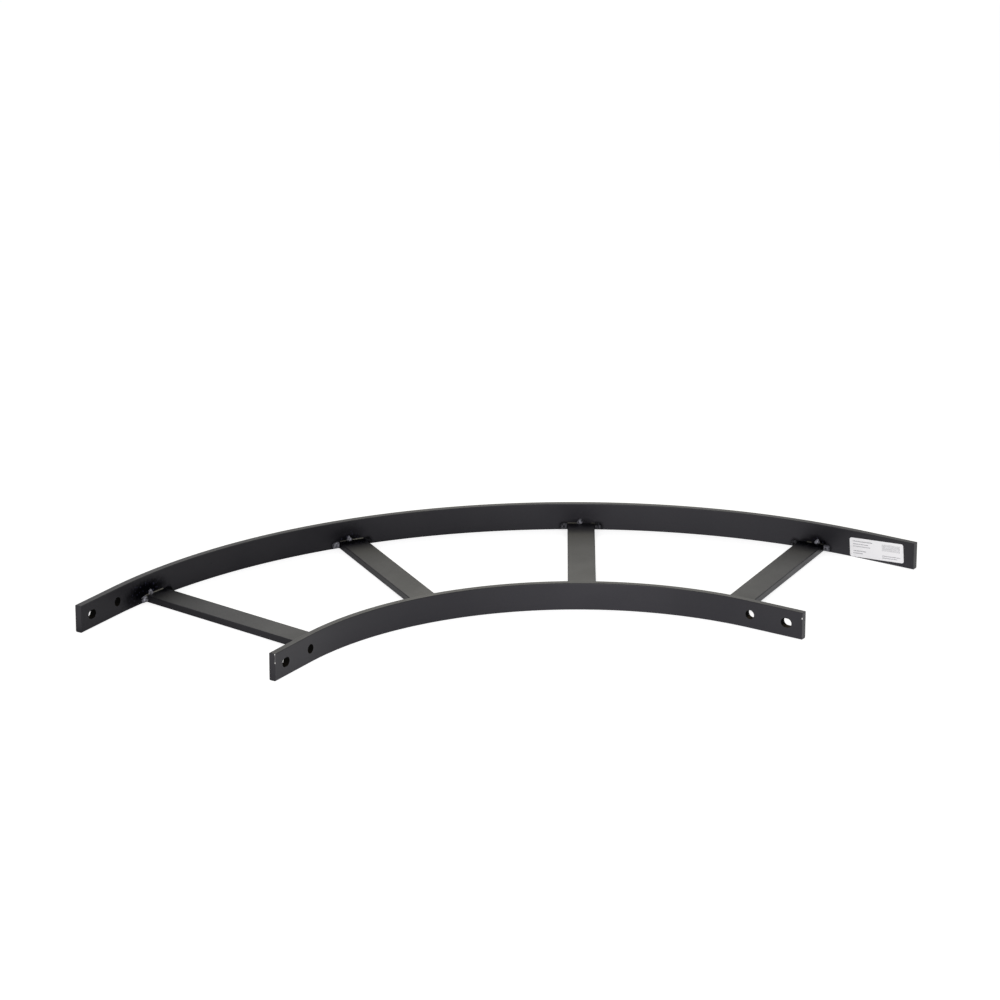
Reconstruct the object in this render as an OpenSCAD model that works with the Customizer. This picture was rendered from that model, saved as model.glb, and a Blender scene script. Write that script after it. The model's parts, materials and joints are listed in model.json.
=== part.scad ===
// Cable tray bend: a flat 90 degree corner of a ladder tray, welded up from solid flat bar.
// Two side bars stand on edge and are bent round one centre, with a straight stretch at each end.
// The rungs are cut from flat bar, lie flat between the side bars and are flush with them underneath.
// Every rung end is tacked to its side bar at both sides and on top.
// The origin is the middle of the overall box, on the underside, with +Z up.
// The left end points along -Y and the right end along +X.

/* [Tray] */
// Clear width between the two side bars
clear_width = 304.8; // [150:0.1:610]
// Bend radius on the hollow face of the inner side bar
inner_radius = 418; // [300:1:900]
// Straight stretch at each end of both side bars
straight_length = 79.4; // [60:0.1:150]

/* [Side bars] */
// Height of a side bar, which stands on edge
bar_height = 38.1; // [30:0.1:64]
// Thickness of a side bar
bar_thickness = 9.525; // [6:0.005:13]
// Rounding along the long edges of a side bar
bar_edge = 1.2; // [0.4:0.1:2.5]

/* [Rungs] */
// Number of rungs, spread evenly round the bend
rung_count = 4; // [3:1:6]
// Angle from each end of the curve to the middle of its nearest rung
end_rung_angle = 6.15; // [5:0.05:12]
// Width of a rung, which lies flat
rung_width = 38.1; // [25:0.1:50]
// Thickness of a rung
rung_thickness = 9.525; // [6:0.005:13]
// Rounding along the long edges of a rung
rung_edge = 1.2; // [0.4:0.1:2.5]

/* [Bolt holes] */
// Diameter of the round hole, and width of the slotted one
hole_diameter = 12.7; // [8:0.1:16]
// How much longer the slotted hole is than it is wide
slot_travel = 3.2; // [0.5:0.1:12]
// From the end of a side bar to the middle of its slotted hole
end_to_slot = 24.2; // [18:0.1:30]
// From the middle of the slotted hole to the middle of the round one
slot_to_hole = 55.2; // [40:0.1:60]

/* [Welds] */
// Size of the tack on top of a rung's end, as a radius
top_tack = 4.6; // [3.5:0.1:6]
// Places of the top tacks, from each rung's middle towards the left end, because they are tacked by hand
top_tack_places = [10.5, 3.4, 1.8, -9]; // [-12:0.1:12]
// Size of the tack at each side of a rung's end, as a radius
side_tack = 6.2; // [5.5:0.1:7.5]
// How far the middle of a side tack lies outside the rung's edge
side_tack_offset = 4.6; // [2:0.1:5]

/* [Hidden] */
// Radii of the faces that the rungs run between
rung_start_radius = inner_radius + bar_thickness;
rung_end_radius = rung_start_radius + clear_width;
// From the centre of the bend to the middle of the overall box, along X and along Y
centre_shift = (rung_end_radius + bar_thickness - straight_length) / 2;
// Angle from one rung to the next
rung_pitch = (90 - 2 * end_rung_angle) / (rung_count - 1);
// Length by which a cutter passes the face that it cuts
cut_margin = 3;
// Share of a tack's radius by which the middle of a top tack stands above the rung
tack_lift = 0.45;
// Height of the lowest weld metal above the underside
tack_floor = 0.8;
// Sides of a small circle, of a tack, and of a circle as large as the bend
round_sides = 96;
tack_sides = 240;
face_sides = 720;

side_bars = ["outer_side_bar", "inner_side_bar"];

// Angle of a rung round the centre of the bend; rung 1 is nearest the left end
function rung_angle(i) = 180 - end_rung_angle - (i - 1) * rung_pitch;

// Moves what is drawn round the centre of the bend into the part's own frame
module from_bend_centre() {
    translate([centre_shift, -centre_shift, 0]) children();
}

// Section of a flat bar with rounded long edges, its corner at the origin
module bar_section(across, up, edge) {
    translate([edge, 0]) square([across - 2 * edge, up]);
    translate([0, edge]) square([across, up - 2 * edge]);
    for (x = [edge, across - edge], y = [edge, up - edge]) {
        translate([x, y]) circle(r = edge, $fn = round_sides);
    }
}

// A slot or a round hole through a side bar: axis along +Z, length along X
module hole_cutter(travel) {
    depth = bar_thickness + 2 * cut_margin;
    translate([0, 0, -cut_margin]) {
        if (travel > 0) {
            for (side = [-1, 1]) {
                translate([side * travel / 2, 0, 0]) cylinder(d = hole_diameter, h = depth, $fn = round_sides);
            }
            translate([-travel / 2, -hole_diameter / 2, 0]) cube([travel, hole_diameter, depth]);
        } else {
            cylinder(d = hole_diameter, h = depth, $fn = round_sides);
        }
    }
}

// The slotted and the round hole of one end: x runs back from the end, the bar lies from z = 0 upwards
module end_holes() {
    translate([end_to_slot, bar_height / 2, 0]) hole_cutter(slot_travel);
    translate([end_to_slot + slot_to_hole, bar_height / 2, 0]) hole_cutter(0);
}

// A side bar bent round the centre, with its hollow face at the given radius
module side_bar(face_radius) {
    difference() {
        union() {
            rotate([0, 0, 90]) rotate_extrude(angle = 90, $fn = face_sides)
                translate([face_radius, 0]) bar_section(bar_thickness, bar_height, bar_edge);
            translate([-face_radius - bar_thickness, 0, 0]) rotate([90, 0, 0])
                linear_extrude(straight_length) bar_section(bar_thickness, bar_height, bar_edge);
            translate([0, face_radius, 0]) rotate([90, 0, 90])
                linear_extrude(straight_length) bar_section(bar_thickness, bar_height, bar_edge);
        }
        translate([-face_radius - bar_thickness, -straight_length, 0]) rotate([90, 0, 90]) end_holes();
        translate([straight_length, face_radius + bar_thickness, 0]) mirror([1, 0, 0])
            rotate([90, 0, 0]) end_holes();
    }
}

// Turns what is drawn along +X to the place of a rung
module at_rung(i) {
    rotate([0, 0, rung_angle(i)]) children();
}

// A full disc round the centre of the bend, from well below the tray to well above it.
// Its circle starts on the far side, so that its seam stays clear of the rung along +X
module bend_disc(radius) {
    translate([0, 0, -bar_height]) rotate([0, 0, 180]) cylinder(r = radius, h = 3 * bar_height, $fn = face_sides);
}

// A rung's bar along +X, a little longer than the space it fills
module rung_bar() {
    translate([rung_start_radius - cut_margin, -rung_width / 2, 0]) rotate([90, 0, 90])
        linear_extrude(clear_width + 2 * cut_margin) bar_section(rung_width, rung_thickness, rung_edge);
}

// A rung, with both ends coped to the faces of the side bars
module rung() {
    difference() {
        intersection() {
            rung_bar();
            bend_disc(rung_end_radius);
        }
        bend_disc(rung_start_radius);
    }
}

// A tack of weld: a ball centred on the side bar's face, cut by the face, the rung and the level of the lowest weld.
// away is the way from the face to the weld; on the hollow face the flat seat lies on the ends of its chord
module tack(radius, face_radius, along, up, away) {
    turn = asin(along / face_radius);
    sag = face_radius - sqrt(pow(face_radius, 2) - pow(radius, 2));
    seat = face_radius - (away < 0 ? sag : 0);
    cutter = 4 * radius;
    difference() {
        rotate([0, 0, turn]) difference() {
            translate([face_radius, 0, up]) sphere(r = radius, $fn = tack_sides);
            translate([seat - (away < 0 ? 0 : cutter), -cutter / 2, up - cutter / 2]) cube(cutter);
            translate([face_radius - cutter / 2, -cutter / 2, tack_floor - cutter]) cube(cutter);
        }
        rung_bar();
    }
}

// The weld of one end of rung i on the face at the given radius: a tack at each side and one on top
module weld(i, face_radius, away) {
    top_place = top_tack_places[(i - 1) % len(top_tack_places)];
    tack(top_tack, face_radius, top_place, rung_thickness + tack_lift * top_tack, away);
    for (side = [-1, 1]) {
        tack(side_tack, face_radius, side * (rung_width / 2 + side_tack_offset), rung_thickness / 2, away);
    }
}

module outer_side_bar() {
    color("#38373a") from_bend_centre() side_bar(rung_end_radius);
}

module inner_side_bar() {
    color("#3a393c") from_bend_centre() side_bar(inner_radius);
}

outer_side_bar();
inner_side_bar();
for (i = [1 : rung_count]) {
    color("#45444a") from_bend_centre() at_rung(i) rung();
    color("#77767c") from_bend_centre() at_rung(i) weld(i, rung_end_radius, -1);
    color("#77767c") from_bend_centre() at_rung(i) weld(i, rung_start_radius, 1);
}
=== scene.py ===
"""Looks of a cable tray bend: a flat corner of a ladder tray, welded up from solid flat bar.

The two side bars and the rungs are satin black powder coat. The rung ends carry small lumpy welds, with matt
black round them that is partly painted shade, and a plain white sticker lies over the bolt holes at the right end.
"""
from __future__ import annotations

import json
import logging
import math
import random
from dataclasses import dataclass
from enum import Enum
from typing import Callable, Iterable, Sequence

import bpy
from mathutils import Matrix, Vector


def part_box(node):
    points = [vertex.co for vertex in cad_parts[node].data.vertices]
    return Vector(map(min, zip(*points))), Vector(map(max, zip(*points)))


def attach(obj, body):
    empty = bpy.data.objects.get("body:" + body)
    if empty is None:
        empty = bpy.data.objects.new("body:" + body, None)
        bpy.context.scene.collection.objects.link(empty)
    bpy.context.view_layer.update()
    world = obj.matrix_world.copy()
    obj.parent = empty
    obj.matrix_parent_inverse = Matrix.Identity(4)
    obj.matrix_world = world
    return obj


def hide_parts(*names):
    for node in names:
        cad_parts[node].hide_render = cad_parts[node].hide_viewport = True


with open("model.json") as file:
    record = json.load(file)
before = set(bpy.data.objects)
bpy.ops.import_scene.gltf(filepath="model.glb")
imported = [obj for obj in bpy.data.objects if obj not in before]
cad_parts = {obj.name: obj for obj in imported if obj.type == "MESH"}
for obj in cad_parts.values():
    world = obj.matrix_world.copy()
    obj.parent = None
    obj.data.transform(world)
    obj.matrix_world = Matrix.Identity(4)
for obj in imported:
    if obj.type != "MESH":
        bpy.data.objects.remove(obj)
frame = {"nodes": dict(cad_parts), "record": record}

log = logging.getLogger("cable_tray_bend")
MM = 0.001
BODY = "root"
FLAT = 1e6


class Pick(Enum):
    """What a selection in edit mode is made of."""

    VERTICES = "VERT"
    EDGES = "EDGE"
    FACES = "FACE"


class Bar(Enum):
    """The two side bars, by the name of their node's first word."""

    OUTER = "outer"
    INNER = "inner"


class End(Enum):
    """The two ends of the bend."""

    LEFT = "left"
    RIGHT = "right"


@dataclass(frozen=True)
class Hole:
    """A bolt hole through a side bar.

    Attributes:
        centre: middle of the hole in the bar's thickness.
        through: direction of the hole's axis.
        along: direction of the bar at the hole, along which a slot is longer.
        radius: half the hole's width.
        travel: how much longer than wide it is.
    """

    centre: Vector
    through: Vector
    along: Vector
    radius: float
    travel: float

    def wall_gap(self, point: Vector) -> float:
        """Returns how far a point lies outside the hole's wall, and a negative number inside it."""
        offset = point - self.centre
        spare = max(abs(offset.dot(self.along)) - self.travel / 2, 0.0)
        return math.hypot(spare, offset.z) - self.radius


@dataclass(frozen=True)
class Tray:
    """Sizes of the whole bend in metres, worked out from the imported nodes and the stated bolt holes."""

    centre: Vector
    straight: float
    thickness: float
    height: float
    outer_face: float
    inner_face: float
    rung_thickness: float
    rung_width: float
    first_rung: float
    rung_count: int

    @classmethod
    def from_frame(cls, straight: float = 79.4 * MM, first_rung: float = 6.15, rung_width: float = 38.1 * MM) -> Tray:
        """Reads the sizes off the frame.

        Args:
            straight: straight stretch at each end of a side bar.
            first_rung: angle from each end of the curve to its nearest rung, in degrees.
            rung_width: width of a rung.

        Returns:
            The sizes of the bend.
        """
        low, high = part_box("outer_side_bar")
        inner_low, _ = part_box("inner_side_bar")
        _, rung_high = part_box("rung_1")
        hole = stated_mount("left_end_outer_hole")
        thickness = hole["dims"]["length_mm"] * MM
        centre = Vector((high.x - straight, low.y + straight, 0.0))
        rungs = [name for name in frame["nodes"] if name.startswith("rung_") and name.count("_") == 1]
        return cls(
            centre=centre,
            straight=straight,
            thickness=thickness,
            height=high.z,
            outer_face=centre.x - low.x - thickness,
            inner_face=centre.x - inner_low.x - thickness,
            rung_thickness=rung_high.z,
            rung_width=rung_width,
            first_rung=first_rung,
            rung_count=len(rungs),
        )

    def face_radius(self, bar: Bar) -> float:
        """Returns the radius of a side bar's hollow face."""
        return self.outer_face if bar is Bar.OUTER else self.inner_face

    def rung_seat(self, bar: Bar) -> float:
        """Returns the radius of the face that the rungs meet on a side bar."""
        return self.outer_face if bar is Bar.OUTER else self.inner_face + self.thickness

    def rung_angle(self, number: int) -> float:
        """Returns the angle of a rung round the centre of the bend, in radians; rung 1 is at the left."""
        pitch = (90 - 2 * self.first_rung) / (self.rung_count - 1)
        return math.radians(180 - self.first_rung - (number - 1) * pitch)

    def place(self, angle: float, radius: float, along: float, up: float) -> Vector:
        """Returns a point near a rung's end.

        Args:
            angle: angle of the rung round the centre of the bend.
            radius: distance from the centre, measured along the rung.
            along: distance to the side of the rung's middle line, positive towards the left end.
            up: height above the underside.

        Returns:
            The point in the part's frame.
        """
        outward = Vector((math.cos(angle), math.sin(angle), 0.0))
        sideways = Vector((-outward.y, outward.x, 0.0))
        return self.centre + outward * radius + sideways * along + Vector((0.0, 0.0, up))

    def on_face(self, radius: float, from_right: float, up: float) -> Vector:
        """Returns a point on a hollow face, by its distance from the right end along the bar.

        Args:
            radius: radius of the face, less what the point stands proud of it.
            from_right: distance from the right end, measured along the face.
            up: height above the underside.

        Returns:
            The point in the part's frame.
        """
        if from_right <= self.straight:
            return self.centre + Vector((self.straight - from_right, radius, up))
        angle = math.pi / 2 + (from_right - self.straight) / radius
        return self.centre + Vector((radius * math.cos(angle), radius * math.sin(angle), up))


def stated_mount(name: str) -> dict:
    """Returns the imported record's mount of that name."""
    return next(mount for mount in frame["record"]["mounts"] if mount["name"] == name)


class Workpiece:
    """A mesh that is shaped by edit-mode tools and modifiers, with its place in its own mesh."""

    def __init__(self, piece: bpy.types.Object, name: str) -> None:
        """Takes over a new primitive and names it."""
        self.piece = piece
        piece.name = name
        piece.data.name = name
        self.settle()

    @classmethod
    def plate(cls, name: str, centre: Vector, size: Sequence[float], turn: Sequence[float] = (0, 0, 0)) -> Workpiece:
        """Adds a flat plate of the given size, turned about its centre."""
        deselect_all()
        bpy.ops.mesh.primitive_plane_add(size=1, location=centre, rotation=turn)
        bpy.context.active_object.scale = (size[0], size[1], 1)
        return cls(bpy.context.active_object, name)

    @classmethod
    def block(cls, name: str, centre: Vector, size: Sequence[float], turn: Sequence[float] = (0, 0, 0)) -> Workpiece:
        """Adds a block of the given size, turned about its centre."""
        deselect_all()
        bpy.ops.mesh.primitive_cube_add(size=1, location=centre, rotation=turn)
        bpy.context.active_object.scale = size
        return cls(bpy.context.active_object, name)

    @classmethod
    def rod(cls, name: str, centre: Vector, radius: float, length: float, turn: Sequence[float] = (0, 0, 0),
            sides: int = 64) -> Workpiece:
        """Adds a round rod, whose axis is +Z before it is turned."""
        deselect_all()
        bpy.ops.mesh.primitive_cylinder_add(
            vertices=sides, radius=radius, depth=length, location=centre, rotation=turn)
        return cls(bpy.context.active_object, name)

    @classmethod
    def ball(cls, name: str, centre: Vector, size: Sequence[float], turn: Sequence[float] = (0, 0, 0)) -> Workpiece:
        """Adds a ball with its own half-width along each axis, turned about its centre."""
        deselect_all()
        bpy.ops.mesh.primitive_ico_sphere_add(subdivisions=3, radius=1, location=centre, rotation=turn)
        bpy.context.active_object.scale = size
        return cls(bpy.context.active_object, name)

    def settle(self) -> None:
        """Moves the object's place into its mesh."""
        deselect_all()
        self.piece.select_set(True)
        bpy.context.view_layer.objects.active = self.piece
        bpy.ops.object.transform_apply(location=True, rotation=True, scale=True)

    def pick(self, kind: Pick, test: Callable[[Vector, Vector], bool]) -> int:
        """Selects what passes a test and leaves the rest unselected, outside edit mode.

        Args:
            kind: whether vertices, edges or faces are picked.
            test: is given the middle of each one, and its normal, or an edge's direction.

        Returns:
            How many were picked.
        """
        mesh = self.piece.data
        for part in (mesh.vertices, mesh.edges, mesh.polygons):
            part.foreach_set("select", [False] * len(part))
        points = [vertex.co for vertex in mesh.vertices]
        if kind is Pick.VERTICES:
            found = [v for v in mesh.vertices if test(v.co, v.normal)]
        elif kind is Pick.EDGES:
            found = []
            for edge in mesh.edges:
                a, b = (points[i] for i in edge.vertices)
                if test((a + b) / 2, (b - a).normalized()):
                    found.append(edge)
        else:
            found = [f for f in mesh.polygons if test(f.center, f.normal)]
        for item in found:
            item.select = True
        if kind is Pick.EDGES:
            for edge in found:
                for i in edge.vertices:
                    mesh.vertices[i].select = True
        if kind is Pick.FACES:
            for face in found:
                for i in face.vertices:
                    mesh.vertices[i].select = True
        bpy.context.tool_settings.mesh_select_mode = tuple(k is kind for k in Pick)
        return len(found)

    def edit(self, *steps: Callable[[], object]) -> None:
        """Runs steps in edit mode on what is selected, and leaves edit mode again."""
        deselect_all()
        self.piece.select_set(True)
        bpy.context.view_layer.objects.active = self.piece
        bpy.ops.object.mode_set(mode="EDIT")
        for step in steps:
            step()
        bpy.ops.object.mode_set(mode="OBJECT")

    def modify(self, kind: str, **settings: object) -> None:
        """Adds a modifier with its settings and applies it."""
        deselect_all()
        self.piece.select_set(True)
        bpy.context.view_layer.objects.active = self.piece
        bpy.ops.object.modifier_add(type=kind)
        modifier = self.piece.modifiers[-1]
        for key, value in settings.items():
            setattr(modifier, key, value)
        bpy.ops.object.modifier_apply(modifier=modifier.name)

    def cut(self, tool: Workpiece, operation: str = "DIFFERENCE") -> None:
        """Cuts the piece by another, which is used up."""
        self.modify("BOOLEAN", object=tool.piece, operation=operation, solver="EXACT")
        bpy.data.objects.remove(tool.piece, do_unlink=True)

    def join(self, others: Iterable[Workpiece]) -> None:
        """Joins other pieces into this one."""
        deselect_all()
        for other in others:
            other.piece.select_set(True)
        self.piece.select_set(True)
        bpy.context.view_layer.objects.active = self.piece
        bpy.ops.object.join()

    def mend_normals(self) -> None:
        """Merges doubled points and turns every face outwards."""
        self.pick(Pick.VERTICES, lambda point, normal: True)
        self.edit(
            lambda: bpy.ops.mesh.remove_doubles(threshold=1e-6),
            lambda: bpy.ops.mesh.normals_make_consistent(inside=False),
        )

    def smooth(self, weighted: bool = True) -> None:
        """Shades the piece smooth, with flat faces kept flat where weighted is set."""
        deselect_all()
        self.piece.select_set(True)
        bpy.context.view_layer.objects.active = self.piece
        bpy.ops.object.shade_smooth()
        if weighted:
            self.modify("WEIGHTED_NORMAL", weight=50, keep_sharp=False)

    def dress(self, *materials: bpy.types.Material) -> None:
        """Gives the piece its materials, the first one on every face."""
        self.piece.data.materials.clear()
        for material in materials:
            self.piece.data.materials.append(material)

    def hand_over(self, slot: str, *nodes: str) -> None:
        """Fixes the finished piece to the part's body, in place of the nodes that it stands for."""
        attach(self.piece, BODY)
        if nodes:
            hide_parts(*nodes)
        log.info("%s: %d faces", self.piece.name, len(self.piece.data.polygons))


def deselect_all() -> None:
    """Leaves edit mode and leaves nothing selected."""
    active = bpy.context.view_layer.objects.active
    if active is not None and active.mode != "OBJECT":
        bpy.ops.object.mode_set(mode="OBJECT")
    bpy.ops.object.select_all(action="DESELECT")


class Value:
    """A shader socket that takes part in Python expressions."""

    def __init__(self, graph: Graph, socket: bpy.types.NodeSocket) -> None:
        """Wraps a socket of a graph."""
        self.graph = graph
        self.socket = socket

    def _math(self, operation: str, a: Operand, b: Operand | None = None) -> Value:
        """Returns the result of a Math node."""
        inputs = {0: a} if b is None else {0: a, 1: b}
        return self.graph.node("ShaderNodeMath", {"operation": operation}, inputs)

    def __add__(self, other: Operand) -> Value:
        """Returns the sum."""
        return self._math("ADD", self, other)

    __radd__ = __add__

    def __mul__(self, other: Operand) -> Value:
        """Returns the product."""
        return self._math("MULTIPLY", self, other)

    __rmul__ = __mul__

    def __sub__(self, other: Operand) -> Value:
        """Returns the difference."""
        return self._math("SUBTRACT", self, other)

    def __rsub__(self, other: Operand) -> Value:
        """Returns the difference from the other."""
        return self._math("SUBTRACT", other, self)

    def __truediv__(self, other: Operand) -> Value:
        """Returns the quotient."""
        return self._math("DIVIDE", self, other)

    def __pow__(self, other: Operand) -> Value:
        """Returns the power."""
        return self._math("POWER", self, other)

    def __abs__(self) -> Value:
        """Returns the size without its sign."""
        return self._math("ABSOLUTE", self)

    def largest(self, other: Operand) -> Value:
        """Returns the larger of the two."""
        return self._math("MAXIMUM", self, other)

    def smallest(self, other: Operand) -> Value:
        """Returns the smaller of the two."""
        return self._math("MINIMUM", self, other)

    def ramp(self, low: float, high: float, start: float = 0.0, end: float = 1.0) -> Value:
        """Returns a smooth step: start up to low, and end from high on."""
        return self.graph.node(
            "ShaderNodeMapRange", {"interpolation_type": "SMOOTHSTEP", "clamp": True},
            {"Value": self, "From Min": low, "From Max": high, "To Min": start, "To Max": end})


Operand = float | Value


class Graph:
    """The node tree of a material or of the world, written as expressions."""

    def __init__(self, tree: bpy.types.NodeTree) -> None:
        """Empties the tree."""
        self.tree = tree
        tree.nodes.clear()

    def node(self, kind: str, settings: dict[str, object], inputs: dict[int | str, object], out: int | str = 0) -> Value:
        """Adds a node and returns one of its outputs.

        Args:
            kind: the node's type.
            settings: the node's own settings, which are set before its sockets.
            inputs: values or links for its sockets, by name or place.
            out: the output that is returned.

        Returns:
            The wrapped output socket.
        """
        node = self.tree.nodes.new(kind)
        for key, value in settings.items():
            setattr(node, key, value)
        for key, value in inputs.items():
            if isinstance(value, Value):
                self.tree.links.new(value.socket, node.inputs[key])
            else:
                node.inputs[key].default_value = value
        return Value(self, node.outputs[out]) if len(node.outputs) else Value(self, node.inputs[0])

    def place(self) -> Value:
        """Returns the point on the piece, in metres."""
        return self.node("ShaderNodeTexCoord", {}, {}, "Object")

    def axes(self, vector: Value) -> tuple[Value, Value, Value]:
        """Returns the three parts of a vector."""
        split = self.tree.nodes.new("ShaderNodeSeparateXYZ")
        self.tree.links.new(vector.socket, split.inputs[0])
        return tuple(Value(self, split.outputs[i]) for i in range(3))

    def noise(self, place: Value, size: float, detail: float = 2.0, roughness: float = 0.5) -> Value:
        """Returns noise from 0 to 1 whose lumps have the given size in metres."""
        return self.node("ShaderNodeTexNoise", {}, {
            "Vector": place, "Scale": 1 / size, "Detail": detail, "Roughness": roughness}, "Fac")

    def distance(self, place: Value, point: Sequence[float], tall: float = 1.0) -> Value:
        """Returns how far the surface lies from a point, with heights divided by the given share."""
        flat = self.node("ShaderNodeVectorMath", {"operation": "MULTIPLY"}, {0: place, 1: (1.0, 1.0, 1 / tall)})
        middle = (point[0], point[1], point[2] / tall)
        return self.node("ShaderNodeVectorMath", {"operation": "DISTANCE"}, {0: flat, 1: middle}, "Value")

    def blend(self, factor: Operand, first: object, second: object) -> Value:
        """Returns a colour between two, at the factor."""
        return self.node("ShaderNodeMix", {"data_type": "RGBA"}, {0: factor, 6: first, 7: second}, 2)

    def surface(self, inputs: dict[str, object]) -> Value:
        """Returns a Principled surface with the given sockets."""
        return self.node("ShaderNodeBsdfPrincipled", {}, inputs)

    def relief(self, height: Value, depth: float) -> Value:
        """Returns the normal of a surface with fine relief of a depth in metres."""
        return self.node("ShaderNodeBump", {}, {"Height": height, "Distance": depth, "Strength": 1.0})

    def mix_surfaces(self, factor: Operand, first: Value, second: Value) -> Value:
        """Returns one surface over another."""
        return self.node("ShaderNodeMixShader", {}, {0: factor, 1: first, 2: second})

    def finish(self, surface: Value, output: str = "ShaderNodeOutputMaterial") -> None:
        """Links a surface to the output."""
        self.node(output, {}, {0: surface})


def new_graph(name: str) -> tuple[bpy.types.Material, Graph]:
    """Returns a new material and its empty graph."""
    material = bpy.data.materials.new(name)
    material.use_nodes = True
    return material, Graph(material.node_tree)


def solid(red: float, green: float, blue: float) -> tuple[float, float, float, float]:
    """Returns an opaque colour."""
    return (red, green, blue, 1.0)


@dataclass(frozen=True)
class Mark:
    """A small mark on a coated surface.

    Attributes:
        point: its middle, in the part's frame.
        radius: how far it reaches to its sides.
        strength: from 0, not seen, to 1.
        tall: how far it reaches up and down, as a share of its radius.
    """

    point: Vector
    radius: float
    strength: float = 1.0
    tall: float = 1.0


@dataclass(frozen=True)
class PowderCoat:
    """Satin black powder coat, with fine pebbled skin, chips, dark specks and matt near-black that is partly painted
    shade.
    """

    colour: tuple[float, ...] = solid(0.0076, 0.0073, 0.0087)
    worn: tuple[float, ...] = solid(0.0112, 0.0108, 0.0120)
    sheen_tint: tuple[float, ...] = solid(0.93, 0.915, 1.0)
    near_black: tuple[float, ...] = solid(0.0015, 0.0015, 0.002)
    spatter_glint: tuple[float, ...] = solid(0.022, 0.022, 0.038)
    bare: tuple[float, ...] = solid(0.80, 0.79, 0.76)
    gloss: float = 0.42
    grain: float = 0.9 * MM
    grain_depth: float = 0.012 * MM
    cloud: float = 60 * MM

    def material(self, name: str, painted: Sequence[Mark] = (), chips: Sequence[Mark] = (),
                 specks: Sequence[Mark] = (), hollow: tuple[Vector, float] | None = None) -> bpy.types.Material:
        """Makes the coat for one piece.

        Args:
            name: the material's name.
            painted: places laid over with matt near-black, partly painted shade at the welds.
            chips: places where the coat is chipped to bare steel.
            specks: small dark specks.
            hollow: centre and radius of the face that keeps the matt near-black to itself, or none.

        Returns:
            The material.
        """
        material, graph = new_graph(name)
        place = graph.place()
        pebbles = graph.noise(place, self.grain, 3.0)
        clouds = graph.noise(place, self.cloud, 3.0)
        dusty = graph.noise(place, self.grain * 3, 2.0).ramp(0.45, 0.8)
        colour = graph.blend(clouds.ramp(0.3, 0.7) * 0.6 + dusty * 0.4, self.colour, self.worn)
        roughness = clouds.ramp(0.3, 0.7, self.gloss - 0.03, self.gloss + 0.04) + pebbles * 0.04
        normal = graph.relief(pebbles, self.grain_depth)
        metal: Operand = 0.0
        if specks:
            dark = self.cover(graph, place, specks, 0.6 * MM)
            colour = graph.blend(dark, colour, self.near_black)
        if chips:
            bare = self.cover(graph, place, chips, 0.5 * MM)
            colour = graph.blend(bare, colour, self.bare)
            metal = bare * 0.7
            roughness = roughness - bare * 0.12
        surface = graph.surface({
            "Base Color": colour, "Roughness": roughness, "Metallic": metal, "Normal": normal,
            "Specular IOR Level": 0.31, "Specular Tint": self.sheen_tint})
        # Matt near-black over the marks: painted shade in the creases and corners at the welds, and darker patches
        # round the joints.
        if painted:
            # Lighter bluish dots in the matt black: weld spatter, and painted glints.
            dots = graph.noise(place, 2.4 * MM, 0.0).ramp(0.68, 0.76)
            paint = graph.surface({
                "Base Color": graph.blend(dots, self.near_black, self.spatter_glint), "Roughness": 0.9, "Normal": normal,
                "Specular IOR Level": 0.0})
            covered = self.cover(graph, place, painted, 4.0 * MM, 0.5, 0.32)
            if hollow:
                centre, radius = hollow
                covered = covered * graph.distance(place, centre, FLAT).ramp(radius + 1.0 * MM, radius + 2.5 * MM, 1.0, 0.0)
            surface = graph.mix_surfaces(covered, surface, paint)
        graph.finish(surface)
        return material

    @staticmethod
    def cover(graph: Graph, place: Value, marks: Sequence[Mark], edge: float, ragged_share: float = 1.1,
              core: float = 0.55) -> Value:
        """Returns how much of the surface a set of ragged marks covers.

        Args:
            graph: the material's graph.
            place: the point on the piece.
            marks: the marks.
            edge: size of the raggedness at their edges.
            ragged_share: how deep the raggedness is, as a share of a mark's size.
            core: share of a mark's size that it covers in full.

        Returns:
            From 0 off the marks to 1 on them.
        """
        ragged = graph.noise(place, edge, 4.0, 0.65)
        total: Value | None = None
        for mark in marks:
            near = graph.distance(place, mark.point, mark.tall) / mark.radius + (ragged - 0.5) * ragged_share
            spot = near.ramp(core, 1.0, mark.strength, 0.0)
            total = spot if total is None else total.largest(spot)
        return total


@dataclass(frozen=True)
class WeldMetal:
    """Weld metal under a thin coat, in patches of bare grey and of dark; the grey is partly a painted reflection of
    the bright surroundings.
    """

    colour: tuple[float, ...] = solid(0.155, 0.155, 0.175)
    crease: tuple[float, ...] = solid(0.012, 0.012, 0.013)
    bare_share: float = 0.75
    near_black: tuple[float, ...] = solid(0.004, 0.004, 0.0045)

    def material(self, name: str, coated: Sequence[Mark] = ()) -> bpy.types.Material:
        """Makes the material of the welds.

        Args:
            name: the material's name.
            coated: where the welds are darkened to matt near-black; on the tacks this is painted shade.

        Returns:
            The material.
        """
        material, graph = new_graph(name)
        place = graph.place()
        ripples = graph.noise(place, 1.6 * MM, 4.0, 0.6)
        middle = 0.72 - 0.4 * self.bare_share
        patches = graph.noise(place, 4.0 * MM, 2.0).ramp(middle - 0.06, middle + 0.06)
        colour = graph.blend(patches, self.crease, self.colour)
        surface = graph.surface({
            "Base Color": colour, "Roughness": ripples.ramp(0.2, 0.8, 0.3, 0.55), "Metallic": 0.35,
            "Normal": graph.relief(ripples, 0.35 * MM)})
        # Matt near-black over the marks: painted shade on the tacks turned away from the light, and darker places on
        # the thin runs.
        if coated:
            paint = graph.surface({"Base Color": self.near_black, "Roughness": 0.9, "Specular IOR Level": 0.0})
            surface = graph.mix_surfaces(PowderCoat.cover(graph, place, coated, 1.5 * MM, 0.4), surface, paint)
        graph.finish(surface)
        return material


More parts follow.
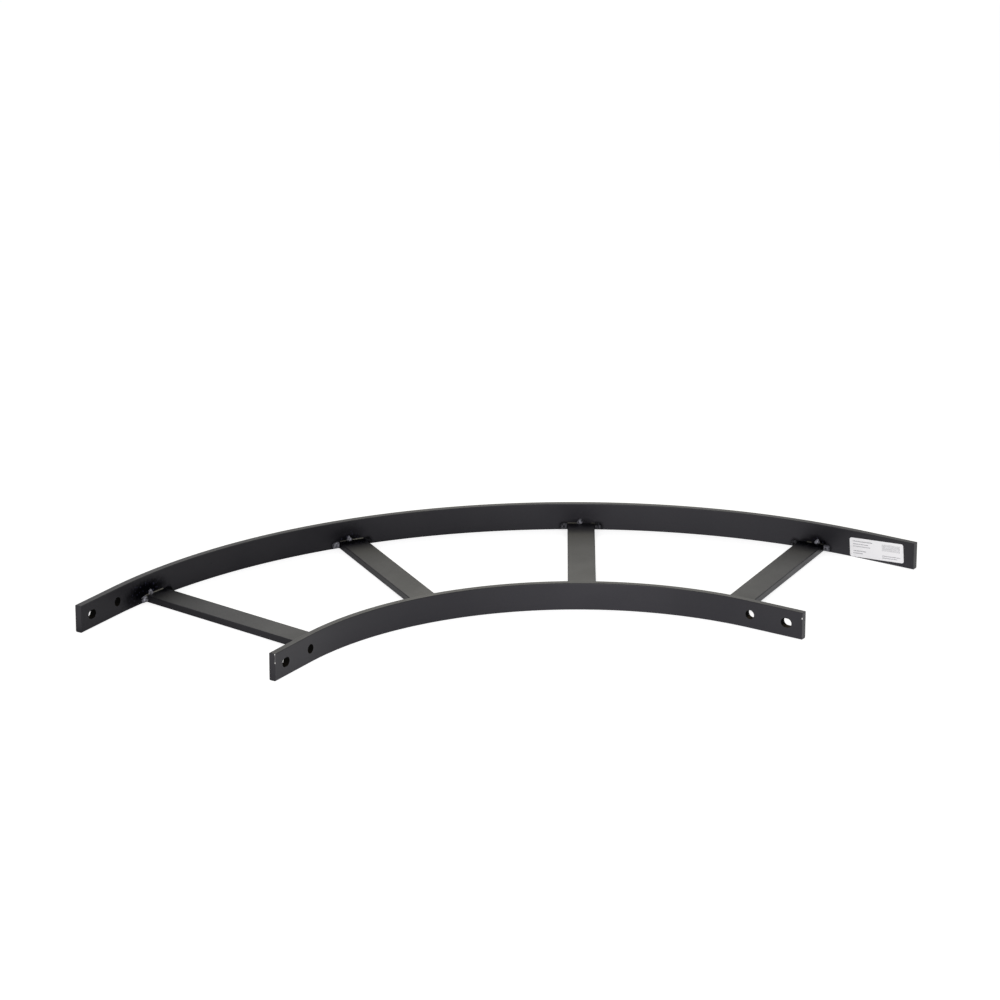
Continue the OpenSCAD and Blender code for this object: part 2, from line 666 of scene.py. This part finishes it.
@dataclass(frozen=True)
class DrilledWall:
    """The wall of a bolt hole: thinly coated steel that shows brown through the black, laid on its lower half as
    painted light and near black above as painted shade.
    """

    coated: tuple[float, ...] = solid(0.0025, 0.0023, 0.002)
    brown: tuple[float, ...] = solid(0.045, 0.036, 0.024)

    def material(self, name: str, middle: float) -> bpy.types.Material:
        """Makes the material of the holes' walls.

        Args:
            name: the material's name.
            middle: height of the holes' middles, because the brown steel is painted on the lower half alone, where
                light
            falls on the wall, as painted light, and only faintly at the left end, as painted shade.

        Returns:
            The material.
        """
        material, graph = new_graph(name)
        place = graph.place()
        across, _, height = graph.axes(place)
        rings = graph.noise(place, 1.2 * MM, 3.0)
        # Painted light: the brown shows on the lower half of the wall alone, where light falls, and only faintly at
        # the left end, as painted shade.
        low = (height / MM).ramp(middle / MM - 5.6, middle / MM - 3.6, 1.0, 0.0) * across.ramp(0.0, 0.2, 0.12, 1.0)
        colour = graph.blend(low * rings.ramp(0.3, 0.6), self.coated, self.brown)
        graph.finish(graph.surface({
            "Base Color": colour, "Roughness": 0.8, "Specular IOR Level": 0.02,
            "Normal": graph.relief(rings, 0.05 * MM)}))
        return material


@dataclass
class SideBar:
    """One side bar: flat bar on edge, bent round the centre, with its two holes at each end."""

    tray: Tray
    bar: Bar
    edge: float = 1.2 * MM
    end_bevel: float = 0.45 * MM
    rim_bevel: float = 0.12 * MM
    slot_travel: float = 3.2 * MM
    bend_steps: int = 96

    @property
    def node(self) -> str:
        """Returns the name of the node that the bar stands for."""
        return f"{self.bar.value}_side_bar"

    @property
    def face(self) -> float:
        """Returns the radius of the bar's hollow face."""
        return self.tray.face_radius(self.bar)

    def holes(self) -> list[Hole]:
        """Returns the bar's four bolt holes, from the stated mounts."""
        found = []
        radius = stated_mount(f"left_end_{self.bar.value}_hole")["dims"]["r_mm"] * MM
        for end in End:
            along = Vector((0, 1, 0)) if end is End.LEFT else Vector((1, 0, 0))
            through = Vector((1, 0, 0)) if end is End.LEFT else Vector((0, 1, 0))
            for kind, travel in (("hole", 0.0), ("slot", self.slot_travel)):
                mount = stated_mount(f"{end.value}_end_{self.bar.value}_{kind}")
                found.append(Hole(Vector(mount["pos_m"]), through, along, radius, travel))
        return found

    def build(self, coat: bpy.types.Material, wall: bpy.types.Material) -> Workpiece:
        """Models the bar and dresses it.

        Args:
            coat: the powder coat.
            wall: the finish of the holes' walls.

        Returns:
            The finished bar.
        """
        bar = self.bend()
        bar.mend_normals()
        holes = self.holes()
        for hole in holes:
            bar.cut(self.cutter(hole))
        self.soften(bar, holes)
        bar.smooth()
        bar.dress(coat, wall)
        for face in bar.piece.data.polygons:
            if any(abs(h.wall_gap(face.center)) < 0.15 * MM and abs(face.normal.dot(h.through)) < 0.3 for h in holes):
                face.material_index = 1
        bar.hand_over("black_powder_coat", self.node)
        return bar

    def bend(self) -> Workpiece:
        """Spins the section round the bend and runs it on straight at both ends."""
        tray = self.tray
        middle = tray.centre + Vector((-self.face - tray.thickness / 2, 0, tray.height / 2))
        bar = Workpiece.plate(self.node + "_coated", middle, (tray.thickness, tray.height), (math.pi / 2, 0, 0))
        bar.pick(Pick.VERTICES, lambda point, normal: True)
        bar.edit(
            lambda: bpy.ops.mesh.bevel(offset=self.edge, segments=5, affect="VERTICES"),
        )
        bar.pick(Pick.FACES, lambda point, normal: True)
        bar.edit(
            lambda: bpy.ops.mesh.spin(
                steps=self.bend_steps, angle=math.pi / 2, center=tray.centre, axis=(0, 0, 1)),
            lambda: bpy.ops.mesh.extrude_region_move(TRANSFORM_OT_translate={"value": (tray.straight, 0, 0)}),
        )
        bar.pick(Pick.FACES, lambda point, normal: abs(point.y - tray.centre.y) < 1e-5 and abs(normal.y) > 0.9)
        bar.edit(
            lambda: bpy.ops.mesh.extrude_region_move(TRANSFORM_OT_translate={"value": (0, -tray.straight, 0)}),
        )
        return bar

    def cutter(self, hole: Hole) -> Workpiece:
        """Returns the drill or slot cutter of a hole."""
        turn = hole.through.to_track_quat("Z", "X").to_euler()
        sides = 64
        rod = Workpiece.rod("cutter", Vector(), hole.radius, 3 * self.tray.thickness, sides=sides)
        rod.piece.data.transform(Matrix.Rotation(math.pi / sides, 4, "Z"))
        rod.piece.data.transform(turn.to_matrix().to_4x4())
        rod.piece.data.transform(Matrix.Translation(hole.centre))
        if hole.travel:
            for side in (-1, 1):
                rod.pick(Pick.VERTICES, lambda point, normal: side * (point - hole.centre).dot(hole.along) > 0)
                shift = hole.along * (side * hole.travel / 2)
                rod.edit(lambda: bpy.ops.transform.translate(value=shift))
        return rod

    def soften(self, bar: Workpiece, holes: Sequence[Hole]) -> None:
        """Takes the sharpness off the sawn ends and the rims of the holes."""
        left = self.tray.centre.y - self.tray.straight
        right = self.tray.centre.x + self.tray.straight
        bar.pick(Pick.EDGES, lambda point, way: (
            (abs(point.y - left) < 1e-5 and abs(way.y) < 0.1) or (abs(point.x - right) < 1e-5 and abs(way.x) < 0.1)))
        bar.edit(lambda: bpy.ops.mesh.bevel(offset=self.end_bevel, segments=3, affect="EDGES", clamp_overlap=False))
        bar.pick(Pick.EDGES, lambda point, way: any(
            abs(hole.wall_gap(point)) < 0.1 * MM and abs(way.dot(hole.through)) < 0.5 for hole in holes))
        bar.edit(lambda: bpy.ops.mesh.bevel(offset=self.rim_bevel, segments=3, affect="EDGES", clamp_overlap=False))


@dataclass
class Rung:
    """One rung: flat bar laid flat, with its ends coped to the faces of the side bars."""

    tray: Tray
    number: int
    edge: float = 1.2 * MM

    @property
    def node(self) -> str:
        """Returns the name of the node that the rung stands for."""
        return f"rung_{self.number}"

    def build(self, coat: bpy.types.Material) -> Workpiece:
        """Models the rung and dresses it in the coat."""
        tray = self.tray
        start, stop = tray.rung_seat(Bar.INNER), tray.rung_seat(Bar.OUTER)
        angle = tray.rung_angle(self.number)
        spare = 3 * MM
        middle = tray.place(angle, (start + stop) / 2, 0, tray.rung_thickness / 2)
        size = (stop - start + 2 * spare, tray.rung_width, tray.rung_thickness)
        rung = Workpiece.block(self.node + "_coated", middle, size, (0, 0, angle))
        outward = Vector((math.cos(angle), math.sin(angle), 0))
        rung.pick(Pick.EDGES, lambda point, way: abs(way.dot(outward)) > 0.9)
        rung.edit(lambda: bpy.ops.mesh.bevel(offset=self.edge, segments=5, affect="EDGES"))
        self.cope(rung, stop, "INTERSECT")
        self.cope(rung, start, "DIFFERENCE")
        rung.smooth()
        rung.dress(coat)
        rung.hand_over("black_powder_coat", self.node)
        return rung

    def cope(self, rung: Workpiece, radius: float, operation: str) -> None:
        """Cuts an end of the rung to the round face that it meets."""
        disc = Workpiece.rod("disc", self.tray.centre.copy(), radius, 4 * self.tray.height, sides=1440)
        rung.cut(disc, operation)


@dataclass(frozen=True)
class Lump:
    """One lump of weld metal at a rung's end, in metres.

    Attributes:
        along: distance from the rung's middle line, positive towards the left end.
        up: height of its middle above the underside.
        wide: half its width along the side bar's face.
        tall: half its height.
        proud: how far it stands off the face.
    """

    along: float
    up: float
    wide: float
    tall: float
    proud: float


@dataclass(frozen=True)
class HandWork:
    """How one rung was tacked by hand, in metres from its middle line, positive towards the left end.

    Attributes:
        top_place: place of the top tack.
        runs: where a thin run of weld shows along the rung's top, each from and to.
    """

    top_place: float
    runs: tuple[tuple[float, float], ...]


HAND_WORK = {
    1: HandWork(10.5 * MM, ((-13.5 * MM, 21.0 * MM),)),
    2: HandWork(3.4 * MM, ((-17.0 * MM, -2.5 * MM), (7.5 * MM, 16.5 * MM))),
    3: HandWork(1.8 * MM, ((5.5 * MM, 18.0 * MM), (-18.5 * MM, -15.5 * MM))),
    4: HandWork(-9.0 * MM, ((-17.5 * MM, -14.0 * MM), (0.5 * MM, 5.5 * MM))),
}


@dataclass
class RungWeld:
    """The weld of one rung end: a lumpy tack at each side, one on top, and thin runs along the top edge."""

    tray: Tray
    number: int
    bar: Bar
    voxel: float = 0.4 * MM
    run_radius: float = 1.25 * MM
    floor_gap: float = 0.8 * MM

    @property
    def node(self) -> str:
        """Returns the name of the node that the weld stands for."""
        return f"rung_{self.number}_{self.bar.value}_weld"

    @property
    def dice(self) -> random.Random:
        """Returns the weld's own dice, thrown the same way in each run."""
        return random.Random(10 * self.number + (self.bar is Bar.OUTER))

    def tacks(self) -> list[Lump]:
        """Returns the lumps of the three tacks, each a little different."""
        dice = self.dice
        thick = self.tray.rung_thickness
        found = []
        for side in (-1, 1):
            edge = side * self.tray.rung_width / 2
            found.append(Lump(edge + side * 4.2 * MM, thick * 0.45, 5.2 * MM, 4.6 * MM, 3.6 * MM))
            for out, tall, proud in ((2.2, 4.7, 5.7), (7.3, 4.3, 5.2)):
                found.append(Lump(
                    edge + side * (out + dice.uniform(-0.5, 0.4)) * MM, thick * dice.uniform(0.5, 0.58), 2.9 * MM,
                    tall * MM, proud * MM))
            for _ in range(3):
                found.append(Lump(
                    edge + side * dice.uniform(0.5, 8.2) * MM, thick * dice.uniform(0.35, 0.95),
                    dice.uniform(1.3, 1.9) * MM, dice.uniform(1.3, 2.0) * MM, dice.uniform(4.2, 5.9) * MM))
        top = HAND_WORK[self.number].top_place
        found.append(Lump(top, thick + 1.3 * MM, 4.3 * MM, 3.0 * MM, 4.4 * MM))
        found.append(Lump(top + dice.uniform(-1.0, 1.0) * MM, thick + 4.0 * MM, 2.5 * MM, 3.1 * MM, 3.5 * MM))
        for _ in range(2):
            found.append(Lump(
                top + dice.uniform(-2.8, 2.8) * MM, thick + dice.uniform(0.6, 3.6) * MM,
                dice.uniform(1.2, 1.8) * MM, dice.uniform(1.2, 1.9) * MM, dice.uniform(3.2, 4.5) * MM))
        return found

    def thin_runs(self) -> list[Lump]:
        """Returns the lumps of the thin runs between the tacks."""
        dice = self.dice
        step = 1.6 * MM
        found = []
        for start, stop in HAND_WORK[self.number].runs:
            count = max(int((stop - start) / step), 1)
            for i in range(count + 1):
                size = self.run_radius * dice.uniform(0.75, 1.15)
                at = start + (stop - start) * i / count
                found.append(Lump(at, self.tray.rung_thickness + 0.2 * MM, 1.5 * MM, size * 0.9, size))
        return found

    def build(self, metal: bpy.types.Material, thin: bpy.types.Material) -> Workpiece:
        """Models the weld and dresses it.

        Args:
            metal: the finish of the tacks.
            thin: the finish of the thin runs.

        Returns:
            The finished weld.
        """
        weld = self.skin(self.tacks(), metal, 0.9 * MM)
        weld.piece.name = self.node + "_metal"
        weld.join([self.skin(self.thin_runs(), thin, 0.35 * MM)])
        weld.hand_over("coated_weld", self.node)
        return weld

    def skin(self, lumps: Sequence[Lump], finish: bpy.types.Material, ripple: float) -> Workpiece:
        """Models one skin round some lumps, with fine ripples in it."""
        angle = self.tray.rung_angle(self.number)
        seat = self.tray.rung_seat(self.bar)
        pieces = []
        for lump in lumps:
            up = max(lump.up, lump.tall + self.floor_gap)
            sag = lump.along ** 2 / (2 * seat)
            centre = self.tray.place(angle, seat - sag, lump.along, up)
            pieces.append(Workpiece.ball("lump", centre, (lump.proud, lump.wide, lump.tall), (0, 0, angle)))
        whole = pieces[0]
        whole.join(pieces[1:])
        whole.modify("REMESH", mode="VOXEL", voxel_size=self.voxel)
        whole.modify("SMOOTH", factor=0.5, iterations=3)
        ripples = bpy.data.textures.new(self.node + "_ripples", "CLOUDS")
        ripples.noise_scale = 2.2 * MM
        ripples.noise_depth = 2
        whole.modify("DISPLACE", texture=ripples, texture_coords="LOCAL", strength=ripple, mid_level=0.5)
        whole.smooth(weighted=False)
        whole.dress(finish)
        return whole


@dataclass(frozen=True)
class StickerPaper:
    """White sticker paper with plain grey rules and bars in place of print."""

    paper: tuple[float, ...] = solid(0.93, 0.93, 0.93)
    ink: tuple[float, ...] = solid(0.20, 0.20, 0.22)

    def material(self, name: str, length: float, height: float) -> bpy.types.Material:
        """Makes the sticker's material.

        Args:
            name: the material's name.
            length: length of the sticker.
            height: height of the sticker.

        Returns:
            The material, which reads the piece's own UV map, in metres from the lower left corner.
        """
        material, graph = new_graph(name)
        place = graph.node("ShaderNodeUVMap", {"uv_map": "face"}, {})
        across, up, _ = graph.axes(place)
        ink = self.rules(across, up, length, height)
        fibres = graph.noise(graph.place(), 0.8 * MM, 3.0)
        worn = graph.noise(graph.place(), 0.5 * MM, 2.0).ramp(0.35, 0.6)
        colour = graph.blend(ink * worn * 0.95, self.paper, self.ink)
        graph.finish(graph.surface({
            "Base Color": colour, "Roughness": 0.55, "Normal": graph.relief(fibres, 0.01 * MM)}))
        return material

    def rules(self, across: Value, up: Value, length: float, height: float) -> Value:
        """Returns 1 on the printed rules and 0 on bare paper."""
        rows = (
            (0.06, 0.42, 0.80, 0.055), (0.06, 0.34, 0.66, 0.045), (0.06, 0.38, 0.54, 0.045),
            (0.06, 0.30, 0.30, 0.05), (0.06, 0.24, 0.18, 0.05),
            (0.60, 0.94, 0.22, 0.045), (0.60, 0.88, 0.12, 0.045),
        )
        total = self.bar(across, up, 0.60, 0.94, 0.50, 0.36, length, height) * self.stripes(across)
        for start, stop, level, thick in rows:
            total = total.largest(self.bar(across, up, start, stop, level, thick, length, height))
        return total

    @staticmethod
    def bar(across: Value, up: Value, start: float, stop: float, level: float, thick: float, length: float,
            height: float) -> Value:
        """Returns 1 inside one rule, given by shares of the sticker's length and height."""
        soft = 0.12 * MM
        middle, half = (start + stop) / 2 * length, (stop - start) / 2 * length
        sideways = abs(across - middle).ramp(half - soft, half + soft, 1.0, 0.0)
        upright = abs(up - (level + thick / 2) * height).ramp(
            thick / 2 * height - soft, thick / 2 * height + soft, 1.0, 0.0)
        return sideways * upright

    @staticmethod
    def stripes(across: Value) -> Value:
        """Returns upright stripes of even pitch."""
        pitch = 1.6 * MM
        wave = across.graph.node("ShaderNodeMath", {"operation": "SINE"}, {0: across * (2 * math.pi / pitch)})
        return wave.ramp(-0.2, 0.2)


@dataclass
class Sticker:
    """The sticker over the bolt holes at the right end of the outer side bar."""

    tray: Tray
    length: float = 83.4 * MM
    height: float = 27.5 * MM
    corner: float = 3.0 * MM
    tilt: float = math.radians(3.8)
    right_edge: float = 15.0 * MM
    low_corner: float = 0.5 * MM
    thickness: float = 0.18 * MM

    def build(self, paper: bpy.types.Material) -> Workpiece:
        """Models the sticker flat and lays it on the face."""
        flat = Workpiece.plate("sticker", Vector((self.length / 2, self.height / 2, 0)), (self.length, self.height))
        flat.pick(Pick.VERTICES, lambda point, normal: True)
        flat.edit(lambda: bpy.ops.mesh.bevel(offset=self.corner, segments=8, affect="VERTICES"))
        steps = 24
        for i in range(1, steps):
            at = Vector((self.length * i / steps, 0, 0))
            flat.pick(Pick.FACES, lambda point, normal: True)
            flat.edit(lambda: bpy.ops.mesh.bisect(plane_co=at, plane_no=(1, 0, 0), use_fill=False))
        self.remember_place(flat)
        self.lay(flat)
        flat.modify("SOLIDIFY", thickness=self.thickness, offset=1.0)
        flat.smooth()
        flat.dress(paper)
        flat.hand_over("black_powder_coat")
        return flat

    def remember_place(self, flat: Workpiece) -> None:
        """Keeps each point's place on the flat sticker as its UV map."""
        mesh = flat.piece.data
        layer = mesh.uv_layers[0] if mesh.uv_layers else mesh.uv_layers.new()
        layer.name = "face"
        for loop in mesh.loops:
            point = mesh.vertices[loop.vertex_index].co
            layer.data[loop.index].uv = (point.x, point.y)

    def lay(self, flat: Workpiece) -> None:
        """Bends the flat sticker onto the hollow face, tilted as it was stuck on."""
        tray = self.tray
        cosine, sine = math.cos(self.tilt), math.sin(self.tilt)
        left_edge = self.right_edge + self.length * cosine
        for vertex in flat.piece.data.vertices:
            across = vertex.co.x * cosine - vertex.co.y * sine
            up = vertex.co.x * sine + vertex.co.y * cosine
            vertex.co = tray.on_face(tray.outer_face - 0.03 * MM, left_edge - across, self.low_corner + up)


@dataclass(frozen=True)
class Studio:
    """The photographer's set: a white floor and surroundings, soft lamps and the camera."""

    target: Vector = Vector((-0.21953, 0.33103, 0.0))
    azimuth: float = math.radians(32.69)
    elevation: float = math.radians(19.69)
    distance: float = 6.48031
    roll: float = math.radians(0.11)
    lens: float = 162.81
    sensor: float = 36.0
    surroundings: float = 0.40
    floor_glow: float = 0.70

    def build(self) -> None:
        """Sets up the camera, the floor, the surroundings and the lamps."""
        self.camera()
        self.floor()
        self.world()
        self.lamp("front", Vector((0.88, -1.52, 0.37)), 0.8, 23, (0.98, 0.96, 1.0))
        self.lamp("back", Vector((-0.69, 1.19, 1.16)), 0.8, 5.2, (1.0, 0.97, 0.74))

    def camera(self) -> None:
        """Places the camera at the photograph's angle."""
        away = Vector((
            math.sin(self.azimuth) * math.cos(self.elevation),
            -math.cos(self.azimuth) * math.cos(self.elevation),
            math.sin(self.elevation)))
        right = (-away).cross(Vector((0, 0, 1))).normalized()
        up = right.cross(-away)
        across = right * math.cos(self.roll) + up * math.sin(self.roll)
        rise = up * math.cos(self.roll) - right * math.sin(self.roll)
        data = bpy.data.cameras.new("camera")
        data.sensor_fit = "HORIZONTAL"
        data.sensor_width = self.sensor
        data.lens = self.lens
        data.clip_end = 100
        camera = bpy.data.objects.new("camera", data)
        turn = Matrix((across, rise, away)).transposed().to_4x4()
        camera.matrix_world = Matrix.Translation(self.target + away * self.distance) @ turn
        bpy.context.scene.collection.objects.link(camera)
        bpy.context.scene.camera = camera

    def floor(self) -> None:
        """Adds the white floor, which keeps a faint shadow and is mirrored more weakly towards the left."""
        floor = Workpiece.plate("floor", Vector((0, 0, -0.05 * MM)), (40, 40))
        material, graph = new_graph("white_floor")
        straight, mirrored = self.sights(graph)
        across, ahead, _ = graph.axes(graph.place())
        # Painted shade: in reflections the floor glows less towards the left, so the side bars' faces there mirror a
        # darker floor; the camera sees it white.
        faded = across.ramp(-0.40, 0.15, 0.05, 0.92).largest(ahead.ramp(-0.46, -0.40, 1.0, 0.0))
        lit = graph.node("ShaderNodeBsdfDiffuse", {}, {"Color": solid(0.78, 0.78, 0.78)})
        strength = straight * self.floor_glow + mirrored * faded
        glow = graph.node("ShaderNodeEmission", {}, {"Color": solid(1, 1, 1), "Strength": strength})
        both = graph.node("ShaderNodeAddShader", {}, {0: lit, 1: glow})
        graph.finish(both)
        floor.dress(material)

    @staticmethod
    def sights(graph: Graph) -> tuple[Value, Value]:
        """Returns 1 for what the camera sees straight, and 1 for what it sees mirrored or through something clear."""
        straight, mirrored, through = (
            graph.node("ShaderNodeLightPath", {}, {}, f"Is {way} Ray") for way in ("Camera", "Glossy", "Transmission"))
        return straight, mirrored.largest(through)

    def world(self) -> None:
        """Makes the surroundings white to the camera and in reflections, and pale to everything else."""
        world = bpy.data.worlds.new("studio")
        world.use_nodes = True
        bpy.context.scene.world = world
        graph = Graph(world.node_tree)
        straight, mirrored = self.sights(graph)
        strength = straight.largest(mirrored) * (1 - self.surroundings) + self.surroundings
        back = graph.node("ShaderNodeBackground", {}, {"Color": solid(1, 1, 1), "Strength": strength})
        graph.finish(back, "ShaderNodeOutputWorld")

    def lamp(self, name: str, place: Vector, size: float, power: float, colour: Sequence[float]) -> None:
        """Adds a square soft lamp that points at the middle of the object."""
        data = bpy.data.lights.new(name, "AREA")
        data.shape = "SQUARE"
        data.size = size
        data.energy = power
        data.color = colour
        lamp = bpy.data.objects.new(name, data)
        lamp.location = place
        lamp.rotation_euler = (-place).to_track_quat("-Z", "Y").to_euler()
        bpy.context.scene.collection.objects.link(lamp)


@dataclass(frozen=True)
class Wear:
    """Where the bend is darkened, partly as painted shade, and where it is chipped and specked, as it came from the
    workshop.
    """

    tray: Tray

    def at_joint(self, number: int, along: float, up: float) -> Vector:
        """Returns a point on the outer side bar's hollow face beside a rung, from its middle line, in mm."""
        tray = self.tray
        sag = (along * MM) ** 2 / (2 * tray.outer_face)
        return tray.place(tray.rung_angle(number), tray.outer_face - sag, along * MM, up * MM)

    def face_darkening(self) -> list[Mark]:
        """Returns the darkening on the outer side bar's hollow face: patches round the joints, and painted shade round
        the side tacks.
        """
        # Matt near-black patches round the joints, darkest next to each rung.
        marks = [
            Mark(self.at_joint(1, 21, 17), 54 * MM, 1.0, 0.38),
            Mark(self.at_joint(1, 38, 13), 40 * MM, 0.75, 0.5),
            Mark(self.at_joint(1, 4, 17), 34 * MM, 0.85, 0.4),
            Mark(self.at_joint(2, 4, 17), 34 * MM, 0.4, 0.6),
            Mark(self.at_joint(2, 4, 12), 28 * MM, 0.8, 0.38),
            Mark(self.at_joint(3, 0, 11), 22 * MM, 0.4, 0.3),
            Mark(self.at_joint(3, -20, 6), 4.5 * MM, 1.0, 1.7),
            Mark(self.at_joint(4, -8, 15), 16 * MM, 0.7, 0.6),
            Mark(self.at_joint(4, -17, 12), 10 * MM, 1.0, 0.7),
            Mark(self.at_joint(4, 5, 11), 14 * MM, 0.6, 0.4),
        ]
        # Painted shade: a dark ring round each side tack, in the crease where the weld meets the face.
        for number in range(1, self.tray.rung_count + 1):
            for side in (-1, 1):
                marks.append(Mark(self.at_joint(number, side * 24, 5), 10 * MM, 0.75, 1.0))
        return marks

    def rung_shade(self) -> list[Mark]:
        """Returns the painted shade on the rungs' tops where they meet the outer side bar."""
        tray = self.tray
        # Painted shade in the corner where each rung meets the outer side bar.
        spots = (
            (1, -11, 15, 0.8), (1, 6, 11, 0.4), (2, -10, 27, 0.95), (2, 8, 28, 0.95), (3, -10, 20, 0.6), (3, 10, 22, 0.6),
            (4, -12, 29, 1.0), (4, 8, 24, 0.95),
        )
        return [
            Mark(tray.place(tray.rung_angle(n), tray.outer_face - 1 * MM, along * MM, tray.rung_thickness),
                 size * MM, strength, 0.33)
            for n, along, size, strength in spots
        ]

    def shaded_tacks(self) -> list[Mark]:
        """Returns the outer side bar's tacks that are darkened to matt near-black, whole or in part, as painted shade.
        """
        spots = ((1, -24, 1.0), (2, -24, 0.95), (3, 24, 0.6), (3, -24, 0.7), (4, 24, 0.75), (4, -24, 0.35))
        return [Mark(self.at_joint(n, along, 6), 14 * MM, strength) for n, along, strength in spots]

    def darkened_runs(self) -> list[Mark]:
        """Returns the places where the thin runs are darkened to matt near-black."""
        spots = ((1, 21, 0.2), (2, 14, 0.5), (3, 12, 0.45), (3, -17, 0.6), (4, -16, 0.8), (4, 3, 0.6))
        return [Mark(self.at_joint(n, along, 9.5), 12 * MM, strength) for n, along, strength in spots]

    def face_specks(self) -> list[Mark]:
        """Returns the dark specks on the outer side bar."""
        return [Mark(self.at_joint(1, -104, 22), 1.6 * MM, 0.9)]

    def inner_chips(self) -> list[Mark]:
        """Returns the chips on the sawn ends' edges of the inner side bar."""
        tray = self.tray
        left_x = tray.centre.x - tray.inner_face
        left_y = tray.centre.y - tray.straight
        right_x = tray.centre.x + tray.straight
        right_y = tray.centre.y + tray.inner_face
        heights = ((37.6, 0.7, 0.9), (35.4, 0.5, 0.3), (33.4, 0.5, 0.22), (31.4, 0.5, 0.22), (29.4, 0.5, 0.22),
                   (27.4, 0.5, 0.28), (25.3, 0.7, 0.9))
        chips = [Mark(Vector((left_x, left_y, up * MM)), size * MM, strength, 2.2) for up, size, strength in heights]
        chips.append(Mark(Vector((right_x, right_y, 30 * MM)), 1.05 * MM, 0.9, 1.5))
        return chips


def main() -> None:
    """Builds and dresses every piece, and then the studio."""
    logging.basicConfig(level=logging.INFO, format="%(name)s: %(message)s")
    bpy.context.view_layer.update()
    bpy.context.scene.view_settings.view_transform = "Standard"
    tray = Tray.from_frame()
    wear = Wear(tray)
    coat = PowderCoat()
    wall = DrilledWall().material("drilled_wall", tray.height / 2)
    outer_coat = coat.material(
        "outer_bar_coat", painted=wear.face_darkening(), specks=wear.face_specks(), hollow=(tray.centre, tray.outer_face))
    SideBar(tray, Bar.OUTER).build(outer_coat, wall)
    SideBar(tray, Bar.INNER).build(coat.material("inner_bar_coat", chips=wear.inner_chips()), wall)
    rung_coat = coat.material("rung_coat", painted=wear.rung_shade())
    metal = WeldMetal().material("weld_metal", wear.shaded_tacks())
    # The thin runs' tan is partly a painted reflection of the bright surroundings in their slanted faces.
    thin = WeldMetal(solid(0.11, 0.105, 0.085), solid(0.02, 0.02, 0.016), 0.9).material(
        "thin_weld_metal", wear.darkened_runs())
    for number in range(1, tray.rung_count + 1):
        Rung(tray, number).build(rung_coat)
        for bar in Bar:
            RungWeld(tray, number, bar).build(metal, thin)
    sticker = Sticker(tray)
    sticker.build(StickerPaper().material("sticker_paper", sticker.length, sticker.height))
    Studio().build()


if __name__ == "__main__":
    main()
